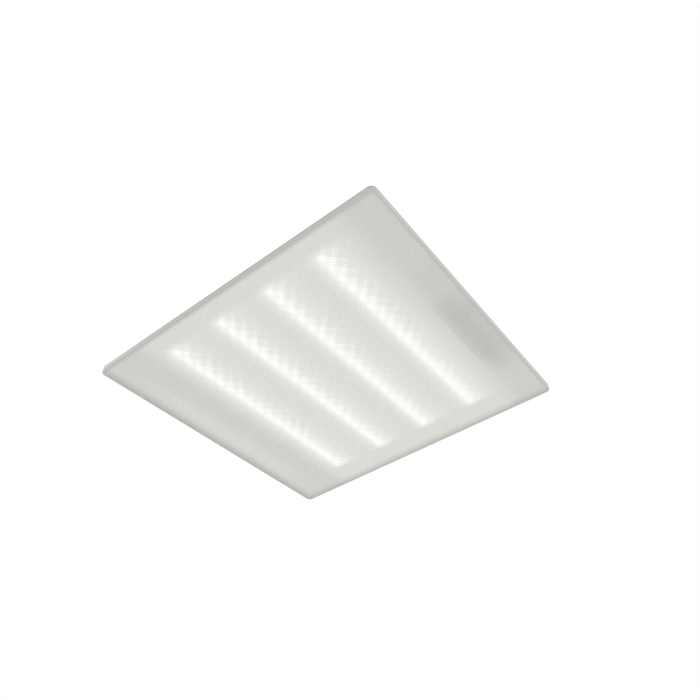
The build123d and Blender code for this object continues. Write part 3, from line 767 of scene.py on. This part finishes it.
@dataclass
class PrismaticCover:
    """The moulded cover: a rounded frame with a rim, and a sheet of small pyramids in it."""

    side: float = 595.0 * MM
    rim_height: float = 10.0 * MM
    rim_wall: float = 1.8 * MM
    face_thickness: float = 2.0 * MM
    corner_radius: float = 10.0 * MM
    corner_segments: int = 10
    edge_radius: float = 2.0 * MM
    edge_segments: int = 5
    smooth_angle: float = 30.0  # degrees
    prism_side: float = 3.0 * math.sqrt(2) * MM
    prism_height: float = 0.9 * MM
    prism_field: float = 588.0 * MM
    prism_corner: float = 584.0 * MM
    shelf_depth: float = 7.6 * MM
    shelf_thickness: float = 2.0 * MM
    shelf_top: float = 4.3 * MM
    shelf_edge: float = 0.3 * MM
    shelf_spacing: float = 120.0 * MM
    shelf_count: int = 5

    def build(self, acrylic: PrismaticAcrylic, rim: bpy.types.Material) -> None:
        """Make the cover's pieces, dress them and let them stand for the CAD cover.

        Args:
            acrylic: The finish and painted glow of the sheet of prisms.
            rim: The material of the frame, the rim and the shelves, with its painted glow and
                shade.
        """
        prisms = self.make_prisms()
        acrylic.light_facets(prisms)
        dress(prisms, acrylic.build())
        shell, shelves = self.make_shell(), self.make_shelves()
        dress(shell, rim)
        dress(shelves, rim)
        for piece in (prisms, shell, shelves):
            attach(piece, "cover")
            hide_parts("diffuser_cover")
            log.info("cover: %s, %d faces", piece.name, len(piece.data.polygons))

    def make_shell(self) -> bpy.types.Object:
        """Make the frame and the rim, with a shallow recess below for the sheet of prisms.

        Returns:
            The mesh object.
        """
        half = self.side / 2
        upright = self.rim_height / 2
        bpy.ops.mesh.primitive_cube_add(size=1, location=(0, 0, self.rim_height / 2))
        shell = bpy.context.active_object
        shell.scale = (self.side, self.side, self.rim_height)
        settle(shell, "cover_shell")
        edit_where(shell, "EDGE", lambda e: abs(e.verts[0].co.z - e.verts[1].co.z) > upright)
        bpy.ops.mesh.bevel(
            offset=self.corner_radius, segments=self.corner_segments, affect="EDGES"
        )
        edit_where(shell, "EDGE", lambda e: all(v.co.z < TOUCH for v in e.verts))
        bpy.ops.mesh.bevel(offset=self.edge_radius, segments=self.edge_segments, affect="EDGES")
        # The rim: the open side is inset by the wall and pushed down to the sheet.
        edit_where(shell, "FACE", lambda f: f.normal.z > FACING)
        bpy.ops.mesh.inset(thickness=self.rim_wall, depth=0)
        down = (0, 0, self.face_thickness - self.rim_height)
        bpy.ops.mesh.extrude_region_move(TRANSFORM_OT_translate={"value": down})
        # The recess that the sheet of prisms fills.
        edit_where(shell, "FACE", lambda f: f.normal.z < -FACING and f.calc_area() > half * half)
        bpy.ops.mesh.inset(thickness=half - self.edge_radius - self.prism_field / 2, depth=0)
        up = (0, 0, self.prism_height)
        bpy.ops.mesh.extrude_region_move(TRANSFORM_OT_translate={"value": up})
        settle(shell, "cover_shell")
        bpy.ops.object.shade_smooth_by_angle(angle=math.radians(self.smooth_angle))
        return shell

    def make_prisms(self) -> bpy.types.Object:
        """Make the sheet of pyramids, points down, in rows along both diagonals.

        Returns:
            The mesh object.
        """
        cells = round(self.prism_field * math.sqrt(2) / self.prism_side)
        bpy.ops.mesh.primitive_grid_add(
            x_subdivisions=cells, y_subdivisions=cells, size=cells * self.prism_side,
            location=(0, 0, self.prism_height), rotation=(math.pi, 0, math.radians(45)),
        )
        prisms = settle(bpy.context.active_object, "cover_prisms")
        edit_where(prisms, "FACE", lambda f: True)
        bpy.ops.mesh.poke(offset=self.prism_height)
        # Four cuts make the square, and four clip it inside the rounded corners of the cover.
        sides = [(normal, self.prism_field) for normal in ((1, 0), (-1, 0), (0, 1), (0, -1))]
        corners = [(normal, self.prism_corner) for normal in ((1, 1), (-1, 1), (-1, -1), (1, -1))]
        for (x, y), width in sides + corners:
            bpy.ops.mesh.select_all(action="SELECT")
            place = Vector((x, y, 0)) * width / 2
            bpy.ops.mesh.bisect(plane_co=place, plane_no=(x, y, 0), clear_outer=True)
        return settle(prisms, "cover_prisms")

    def make_shelves(self) -> bpy.types.Object:
        """Make one small shelf with rounded edges and copy it round the rim.

        Returns:
            The mesh object.
        """
        height = self.shelf_top - self.face_thickness
        inner = self.side / 2 - self.rim_wall
        place = (inner - self.shelf_depth / 2, 0, self.face_thickness + height / 2)
        bpy.ops.mesh.primitive_cube_add(size=1, location=place)
        shelf = bpy.context.active_object
        shelf.scale = (self.shelf_depth, self.shelf_thickness, height)
        settle(shelf, "cover_shelf")
        edit_where(shelf, "EDGE", lambda e: all(v.co.z > self.shelf_top - TOUCH for v in e.verts))
        bpy.ops.mesh.bevel(offset=self.shelf_edge, segments=2, affect="EDGES")
        settle(shelf, "cover_shelf")
        start = -self.shelf_spacing * (self.shelf_count - 1) / 2
        places = [(0, start + i * self.shelf_spacing, 0) for i in range(self.shelf_count)]
        sides = [join(copy_to(shelf, places), "cover_shelf_row")]
        remove(shelf)
        for quarter in (1, 2, 3):
            copy = copy_to(sides[0], [(0, 0, 0)])[0]
            copy.rotation_euler = Euler((0, 0, quarter * math.pi / 2))
            sides.append(settle(copy, "cover_shelf_row"))
        return join(sides, "cover_shelves")


@dataclass
class Leads:
    """Round insulated leads that stand for the CAD leads, along the same ways.

    The radii are in metres, as the meshes are, and the places in millimetres.
    """

    signal_radius: float = 0.9 * MM
    mains_radius: float = 1.2 * MM
    quarter_steps: int = 3  # facets added round each quarter of a lead
    way_steps: int = 6  # lengths between two points
    smooth_angle: float = 50.0  # degrees
    connector_xs: tuple[float, float] = (-229.0, 263.0)
    connector_z: float = 28.7
    connector_reach: float = 3.0  # middle of a strip to the end of a lead
    pole: float = 2.0  # middle of a pair of leads to each of them
    driver_ends: tuple[float, float] = (-26.3, 154.0)
    driver_y: float = -250.0
    driver_z: float = 33.1
    output_sag: tuple[float, float] = (191.0, 31.6)  # X and Z on the way to the corner
    corner_y: float = -180.0
    block_end: float = -82.0
    block_z: float = 34.2
    live_y: float = -259.0
    neutral_y: float = -250.0
    mains_bow: tuple[tuple[float, float], ...] = ((-68.0, 35.2), (-54.0, 37.2), (-40.0, 34.9))
    earth_y: float = -241.0
    earth_straight: float = -70.0
    earth_rise: tuple[tuple[float, float], ...] = ((-241.0, 34.6), (-231.0, 38.6), (-224.0, 42.2))
    stud_x: float = -55.0
    lug_end: float = -214.0
    lug_z: float = 42.2

    def jumpers(self, side: float) -> list[list[Point]]:
        """Lay the straight leads of one pole between neighbouring boards.

        Args:
            side: How far the pole is from the middle of its pair.

        Returns:
            One line of points for each lead.
        """
        lines = []
        for i, (strip, next_strip) in enumerate(zip(STRIP_YS, STRIP_YS[1:])):
            x = self.connector_xs[i % 2] + side
            near, far = strip + self.connector_reach, next_strip - self.connector_reach
            lines.append([(x, y, self.connector_z) for y in (near, (near + far) / 2, far)])
        return lines

    def output(self, side: float) -> list[list[Point]]:
        """Lay one pole's lead from the driver round the corner of the bay.

        Args:
            side: How far the pole is from the middle of its pair.

        Returns:
            One line of points.
        """
        x, y, z = self.connector_xs[1] + side, self.driver_y - side, self.connector_z
        sag_x, sag_z = self.output_sag
        end = STRIP_YS[0] - self.connector_reach
        start = [(self.driver_ends[1], y, self.driver_z), (sag_x, y, sag_z)]
        return [[*start, (x, y, z), (x, self.corner_y, z), (x, end, z)]]

    def mains(self, y: float) -> list[list[Point]]:
        """Lay a lead from the terminal block to the driver, bowed by its slack.

        Args:
            y: The lead's place across the bay.

        Returns:
            One line of points.
        """
        bow = [(x, y, z) for x, z in self.mains_bow]
        return [[(self.block_end, y, self.block_z), *bow, (self.driver_ends[0], y, self.driver_z)]]

    def earth(self) -> list[list[Point]]:
        """Lay the lead from the terminal block up to the lug on the earth stud.

        Returns:
            One line of points.
        """
        start = [(x, self.earth_y, self.block_z) for x in (self.block_end, self.earth_straight)]
        rise = [(self.stud_x, y, z) for y, z in self.earth_rise]
        return [[*start, *rise, (self.stud_x, self.lug_end, self.lug_z)]]

    def routes(self) -> dict[str, tuple[list[list[Point]], float, str]]:
        """Lay every lead.

        Returns:
            For each CAD node, its lines of points, their radius and the material slot.
        """
        signal, mains = self.signal_radius, self.mains_radius
        return {
            "jumper_leads_negative": (self.jumpers(-self.pole), signal, "black_lead"),
            "jumper_leads_positive": (self.jumpers(self.pole), signal, "red_lead"),
            "output_lead_negative": (self.output(-self.pole), signal, "black_lead"),
            "output_lead_positive": (self.output(self.pole), signal, "red_lead"),
            "live_lead": (self.mains(self.live_y), mains, "brown_lead"),
            "neutral_lead": (self.mains(self.neutral_y), mains, "blue_lead"),
            "earth_lead": (self.earth(), mains, "earth_green_lead"),
        }

    def make_tube(self, name: str, lines: list[list[Point]], radius: float) -> bpy.types.Object:
        """Make round tubes along smooth lines.

        Args:
            name: The piece's name.
            lines: One list of points in millimetres for each tube.
            radius: The tubes' radius in metres.

        Returns:
            The mesh object.
        """
        curve = bpy.data.curves.new(name, "CURVE")
        curve.dimensions = "3D"
        curve.bevel_depth = radius
        curve.bevel_resolution = self.quarter_steps
        curve.use_fill_caps = True
        for line in lines:
            spline = curve.splines.new("NURBS")
            spline.points.add(len(line) - 1)
            for point, place in zip(spline.points, line):
                point.co = (*(c * MM for c in place), 1)
            spline.order_u = 3
            spline.use_endpoint_u = True
            spline.resolution_u = self.way_steps
        tube = bpy.data.objects.new(name, curve)
        bpy.context.scene.collection.objects.link(tube)
        activate(tube)
        bpy.ops.object.convert(target="MESH")
        bpy.ops.object.shade_smooth_by_angle(angle=math.radians(self.smooth_angle))
        return settle(bpy.context.active_object, name)

    def build(self, palette: dict[str, bpy.types.Material]) -> None:
        """Make every lead, dress it and let it stand for its CAD node.

        Args:
            palette: The materials by the record's material slot.
        """
        for node, (lines, radius, slot) in self.routes().items():
            tube = self.make_tube(f"{node}_round", lines, radius)
            dress(tube, palette[slot])
            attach(tube, "housing")
            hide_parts(node)
            log.info("lead: %s, %d faces", tube.name, len(tube.data.polygons))


@dataclass
class Screws:
    """Hexagon-headed tapping screws with a recess in the head and a ridged shank."""

    head_width: float = 5.5 * MM
    head_height: float = 2.2 * MM
    head_bevel: float = 0.35 * MM
    recess_margin: float = 1.0 * MM
    recess_slope: float = 0.25 * MM
    recess_depth: float = 0.5 * MM
    shank_radius: float = 1.45 * MM
    shank_sides: int = 20
    thread_depth: float = 0.22 * MM
    thread_pitch: float = 1.0 * MM

    def make_head(self, name: str, place: Point) -> bpy.types.Object:
        """Make a head that hangs below the sheet that it holds.

        Args:
            name: The piece's name.
            place: The middle of the head's upper side, in metres.

        Returns:
            The mesh object.
        """
        x, y, z = place
        bottom = z - self.head_height
        bpy.ops.mesh.primitive_cylinder_add(
            vertices=6, radius=self.head_width / math.sqrt(3), depth=self.head_height,
            location=(x, y, z - self.head_height / 2),
        )
        head = settle(bpy.context.active_object, name)
        edit_where(head, "EDGE", lambda e: all(v.co.z < bottom + TOUCH for v in e.verts))
        bpy.ops.mesh.bevel(offset=self.head_bevel, segments=2, affect="EDGES")
        edit_where(head, "FACE", lambda f: f.normal.z < -FACING)
        bpy.ops.mesh.inset(thickness=self.recess_margin, depth=0)
        bpy.ops.mesh.inset(thickness=self.recess_slope, depth=-self.recess_depth)
        return settle(head, name)

    def make_shank(self, name: str, place: Point, length: float) -> bpy.types.Object:
        """Make a shank that points up, every other ring of it a ridge of the thread.

        Args:
            name: The piece's name.
            place: The middle of its lower end, in metres.
            length: Its length in metres.

        Returns:
            The mesh object.
        """
        x, y, z = place
        middle = (x, y, z + length / 2)
        core = self.shank_radius - self.thread_depth
        grow = self.shank_radius / core
        rings = round(length / self.thread_pitch) * 2
        gap = length / rings
        bpy.ops.mesh.primitive_cylinder_add(
            vertices=self.shank_sides, radius=core, depth=length, location=middle,
        )
        shank = settle(bpy.context.active_object, name)
        edit_where(shank, "EDGE", lambda e: abs(e.verts[0].co.z - e.verts[1].co.z) > length / 2)
        bpy.ops.mesh.subdivide(number_cuts=rings - 1)
        edit_where(shank, "VERT", lambda v: round((v.co.z - z) / gap) % 2 == 1)
        bpy.ops.transform.resize(value=(grow, grow, 1), center_override=middle)
        return settle(shank, name)

    def build(self, zinc: bpy.types.Material) -> None:
        """Make the two screws and let them stand for the CAD ones.

        Args:
            zinc: The screws' material.
        """
        for node in ("driver_screw", "cable_clamp_screw"):
            low, high = (Vector(corner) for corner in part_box(node))
            place = ((low.x + high.x) / 2, (low.y + high.y) / 2, low.z + self.head_height)
            head = self.make_head(f"{node}_threaded", place)
            shank = self.make_shank(f"{node}_shank", place, high.z - low.z - self.head_height)
            screw = join([head, shank], f"{node}_threaded")
            dress(screw, zinc)
            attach(screw, "housing")
            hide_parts(node)
            log.info("screw: %s, %d faces", screw.name, len(screw.data.polygons))


@dataclass
class WeldMarks:
    """Shallow round marks on the back pan where the rails' feet are spot-welded."""

    radius: float = 2.6 * MM
    sides: int = 20
    height: float = 0.12 * MM
    ring: float = 0.5 * MM
    dent_slope: float = 0.4 * MM
    dent_depth: float = 0.08 * MM
    pan_top: float = 45.0 * MM
    foot_offset: float = 20.5 * MM
    xs_mm: tuple[float, ...] = (-210.0, -97.0, 17.0, 131.0, 244.0)

    def build(self, paint: bpy.types.Material) -> None:
        """Make one mark and copy it along every foot.

        Args:
            paint: The tray's material.
        """
        bpy.ops.mesh.primitive_cylinder_add(
            vertices=self.sides, radius=self.radius, depth=self.height,
            location=(0, 0, self.pan_top + self.height / 2),
        )
        mark = settle(bpy.context.active_object, "weld_mark")
        edit_where(mark, "FACE", lambda f: f.normal.z > FACING)
        bpy.ops.mesh.inset(thickness=self.ring, depth=0)
        bpy.ops.mesh.inset(thickness=self.dent_slope, depth=-self.dent_depth)
        settle(mark, "weld_mark")
        places = [
            (x * MM, strip * MM + side * self.foot_offset, 0)
            for strip in STRIP_YS for x in self.xs_mm for side in (-1, 1)
        ]
        marks = join(copy_to(mark, places), "weld_marks")
        remove(mark)
        dress(marks, paint)
        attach(marks, "housing")
        log.info("tray: %s, %d faces", marks.name, len(marks.data.polygons))


# ---- Finishes of the CAD nodes ----


def make_palette() -> dict[str, bpy.types.Material]:
    """Build every finish.

    Returns:
        The materials by the record's material slot.
    """
    palette = {
        "prismatic_cover": AcrylicRim(),
        "painted_steel": PowderCoat(),
        "circuit_board_white": CircuitBoard("white_solder_mask", "#EFEFEC", "#D9D8D2"),
        "circuit_board_green": CircuitBoard("green_solder_mask", "#2C7A45", "#1E5B31", 9.0, 3.0),
        "led_package": LedPackage(),
        "zinc_screw": PlatedMetal("zinc_plated_steel", "#B9BCBE"),
        "driver_metal": PlatedMetal("galvanised_sheet", "#C3C5C6", 0.4, 9.0),
        "tinned_copper": PlatedMetal("tinned_copper", "#C9C9C4", 0.3, 3.0),
        "spring_steel": PlatedMetal("zinc_plated_strip", "#BEC1C4", 0.3, 8.0),
        "connector_plastic": MouldedPlastic("natural_nylon", "#E9E5DA", 0.42),
        "terminal_plastic": MouldedPlastic("terminal_nylon", "#E4E1D8", 0.5),
        "driver_plastic": MouldedPlastic("moulded_polycarbonate", "#DCDCD8", 0.5, 0.7, 0.2),
        "transformer_core": MouldedPlastic("sintered_ferrite", "#2A2A2C", 0.7, 0.4, 0.2),
        "capacitor_sleeve": MouldedPlastic("shrink_sleeve", "#1D2236", 0.28, 2.0, 0.03),
        "rubber_grommet": MouldedPlastic("black_rubber", "#202022", 0.65, 0.8, 0.25, 1.5),
        "earth_green_lead": EarthInsulation(),
    }
    for colour in (Insulation.RED, Insulation.BLACK, Insulation.BROWN, Insulation.BLUE):
        word = colour.name.lower()
        palette[f"{word}_lead"] = MouldedPlastic(f"{word}_insulation", colour.value, 0.3, 1.0, 0.04)
    return {slot: finish.build() for slot, finish in palette.items()}


def dress_cad_nodes(palette: dict[str, bpy.types.Material]) -> None:
    """Give every CAD node its finish.

    Args:
        palette: The materials by the record's material slot.
    """
    for entry in frame["record"]["subparts"]:
        node = frame["nodes"][entry["node"]]
        dress(node, palette[entry["material_slot"]])


# ---- Studio ----


@dataclass(frozen=True)
class Lamp:
    """A square soft lamp that points at the object, its sizes in metres and its power in watts."""

    name: str
    place: Point
    size: float
    power: float

    def build(self) -> None:
        """Make the lamp and turn it to the origin."""
        light = bpy.data.lights.new(self.name, "AREA")
        light.size = self.size
        light.energy = self.power
        holder = bpy.data.objects.new(self.name, light)
        holder.location = self.place
        holder.rotation_euler = (-Vector(self.place)).to_track_quat("-Z", "Y").to_euler()
        bpy.context.scene.collection.objects.link(holder)


@dataclass
class Studio:
    """A pale floor, a white surround and soft lamps, with the camera below the light."""

    floor_drop: float = 2.2
    floor_size: float = 30.0
    floor_colour: str = "#F4F4F2"
    floor_roughness: float = 0.9
    surround: float = 0.80
    lamps: tuple[Lamp, ...] = (
        Lamp("top_lamp", (-0.6, 2.6, 1.6), 1.2, 18.0),
        Lamp("side_lamp", (1.2, -2.4, 0.2), 1.6, 10.0),
    )
    camera_place: Point = (-0.7934, -0.5406, -0.8083)
    camera_turn: Point = (132.978, 2.348, -51.15)  # degrees
    lens: float = 34.909
    sensor: float = 36.0
    shift: float = 40 / 700

    def build(self) -> None:
        """Make the floor, the surround, the lamps and the camera."""
        self.make_floor()
        self.make_surround()
        for lamp in self.lamps:
            lamp.build()
        self.make_camera()

    def make_floor(self) -> None:
        """Make the floor, which isn't part of the object."""
        bpy.ops.mesh.primitive_plane_add(size=self.floor_size, location=(0, 0, -self.floor_drop))
        floor = settle(bpy.context.active_object, "floor")
        material, _, shader = start_material("pale_floor")
        shader.inputs["Base Color"].default_value = srgb(self.floor_colour)
        shader.inputs["Roughness"].default_value = self.floor_roughness
        dress(floor, material)

    def make_surround(self) -> None:
        """Make the white surround, full white where it is seen and softer as light."""
        world = bpy.context.scene.world or bpy.data.worlds.new("surround")
        bpy.context.scene.world = world
        world.use_nodes = True
        tree = world.node_tree
        tree.nodes.clear()
        seen = add_node(tree, "ShaderNodeLightPath").outputs["Is Camera Ray"]
        levels = {"Value": seen, "To Min": self.surround, "To Max": 1.0}
        strength = add_node(tree, "ShaderNodeMapRange", levels).outputs["Result"]
        white = {"Color": srgb("#FFFFFF"), "Strength": strength}
        backdrop = add_node(tree, "ShaderNodeBackground", white)
        add_node(tree, "ShaderNodeOutputWorld", {"Surface": backdrop.outputs[0]})

    def make_camera(self) -> None:
        """Make the camera at the photograph's place."""
        data = bpy.data.cameras.new("camera")
        data.lens = self.lens
        data.sensor_width = self.sensor
        data.shift_x = self.shift
        data.clip_start = 10 * MM
        camera = bpy.data.objects.new("camera", data)
        camera.location = self.camera_place
        camera.rotation_euler = Euler([math.radians(a) for a in self.camera_turn])
        bpy.context.scene.collection.objects.link(camera)
        bpy.context.scene.camera = camera


def main() -> None:
    """Build the light's looks and the studio."""
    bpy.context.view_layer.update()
    bpy.context.scene.view_settings.view_transform = "Standard"
    palette = make_palette()
    dress_cad_nodes(palette)
    PrismaticCover().build(PrismaticAcrylic(), palette["prismatic_cover"])
    Leads().build(palette)
    Screws().build(palette["zinc_screw"])
    WeldMarks().build(palette["painted_steel"])
    Studio().build()


if __name__ == "__main__":
    main()
